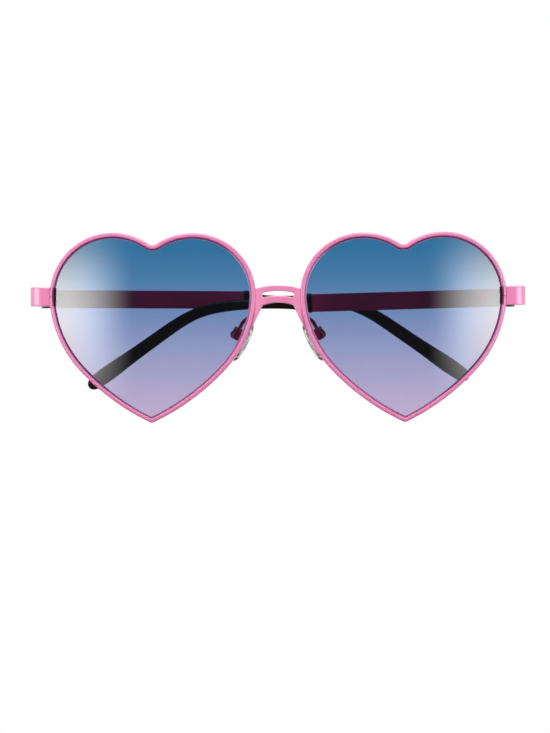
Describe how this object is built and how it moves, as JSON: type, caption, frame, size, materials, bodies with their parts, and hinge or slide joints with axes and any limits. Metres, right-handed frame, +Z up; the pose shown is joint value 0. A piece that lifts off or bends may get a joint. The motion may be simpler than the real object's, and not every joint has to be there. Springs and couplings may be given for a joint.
{
  "type": "sunglasses",
  "caption": "Heart shaped metal rimmed sunglasses with tinted lenses, a double bar bridge, rocking nose pads and temples that fold behind the front.",
  "frame": {"origin": "midway between the two lenses at half their height, in the plane of the front of the eyewires; the bridge of the nose sits just behind and below it", "axes": "+X along the front to the wearer's left, +Y backwards to the face, +Z up"},
  "size_m": [0.145, 0.0193, 0.0556],
  "materials": {
    "pink_enamel": "gloss",
    "plum_enamel": "gloss",
    "tinted_lens": "gloss, blue above fading to lilac below",
    "black_acetate": "gloss",
    "clear_silicone": "satin, clear",
    "clear_plastic": "clear",
    "screw_steel": "satin, dark"
  },
  "bodies": {
    "front": {"bridge": "pink_enamel", "left_eyewire": "pink_enamel", "left_lens": "tinted_lens", "left_endpiece": "pink_enamel", "left_upper_closing_block": "plum_enamel", "left_lower_closing_block": "plum_enamel", "left_lock_screw": "screw_steel", "left_front_hinge_leaf": "pink_enamel", "left_hinge_screw": "screw_steel", "left_pad_arm": "pink_enamel", "left_pad_box": "pink_enamel", "left_pad_screw": "screw_steel", "right_eyewire": "pink_enamel", "right_lens": "tinted_lens", "right_endpiece": "pink_enamel", "right_upper_closing_block": "plum_enamel", "right_lower_closing_block": "plum_enamel", "right_lock_screw": "screw_steel", "right_front_hinge_leaf": "pink_enamel", "right_hinge_screw": "screw_steel", "right_pad_arm": "pink_enamel", "right_pad_box": "pink_enamel", "right_pad_screw": "screw_steel"},
    "left_temple": {"left_temple_bar": "pink_enamel", "left_temple_tip": "black_acetate", "left_temple_hinge_leaf": "pink_enamel"},
    "left_nose_pad": {"left_nose_pad": "clear_silicone", "left_pad_core": "clear_plastic"},
    "right_temple": {"right_temple_bar": "pink_enamel", "right_temple_tip": "black_acetate", "right_temple_hinge_leaf": "pink_enamel"},
    "right_nose_pad": {"right_nose_pad": "clear_silicone", "right_pad_core": "clear_plastic"}
  },
  "joints": [
    {"name": "left_temple_fold", "type": "hinge", "parent": "front", "child": "left_temple", "pos_m": [0.06857, 0.01184, 0.0085], "axis": [0, 0, -1], "range_deg": [0, 91.2]},
    {"name": "right_temple_fold", "type": "hinge", "parent": "front", "child": "right_temple", "pos_m": [-0.06857, 0.01184, 0.0085], "axis": [0, 0, 1], "range_deg": [0, 88.8]},
    {"name": "left_nose_pad_rock", "type": "hinge", "parent": "front", "child": "left_nose_pad", "pos_m": [0.01245, 0.00808, -0.0023], "axis": [0.3308, 0.9272, 0.1759], "range_deg": [-6, 6]},
    {"name": "right_nose_pad_rock", "type": "hinge", "parent": "front", "child": "right_nose_pad", "pos_m": [-0.01245, 0.00808, -0.0023], "axis": [-0.3308, 0.9272, 0.1759], "range_deg": [-6, 6]}
  ]
}
